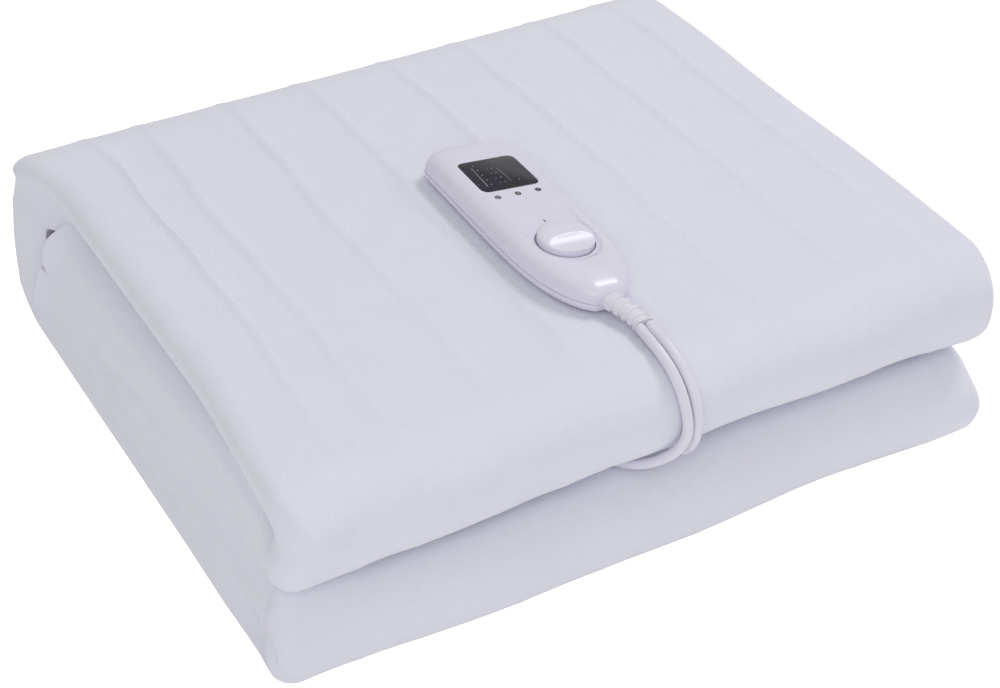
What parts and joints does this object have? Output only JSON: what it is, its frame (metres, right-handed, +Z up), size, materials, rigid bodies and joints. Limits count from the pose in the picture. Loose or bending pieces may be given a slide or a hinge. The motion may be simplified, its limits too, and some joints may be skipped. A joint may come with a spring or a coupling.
{
  "type": "electric underblanket",
  "caption": "Folded electric underblanket of pale fleece with sewn heating channels, and its wired hand controller with a display and a rotary dial lying on top.",
  "frame": {"origin": "on the surface the pack rests on, under the middle of the folded pack with its controller", "axes": "+Z up, +X along the pack's front from its left side to its right side, +Y from its front to its back"},
  "size_m": [0.4012, 0.3737, 0.1376],
  "materials": {
    "fleece": "soft brushed fleece",
    "shell": "smooth gloss",
    "shell_base": "smooth gloss",
    "window": "polished dark lens",
    "dial": "smooth gloss",
    "relief": "satin moulded",
    "lead": "satin sheath",
    "plug": "satin moulded",
    "pin": "turned"
  },
  "bodies": {
    "pack": {"blanket": "fleece", "controller_top": "shell", "controller_base": "shell_base", "display_window": "window", "strain_relief": "relief", "mains_lead": "lead", "blanket_lead": "lead", "plug_body": "plug", "plug_pin_1": "pin", "plug_pin_2": "pin"},
    "dial": {"knob": "dial"}
  },
  "joints": [
    {"name": "dial_turn", "type": "hinge", "parent": "pack", "child": "dial", "pos_m": [0.00439, -0.0809, 0.13308], "axis": [0.1167, 0, 0.9932], "range_deg": [-135, 135]}
  ]
}
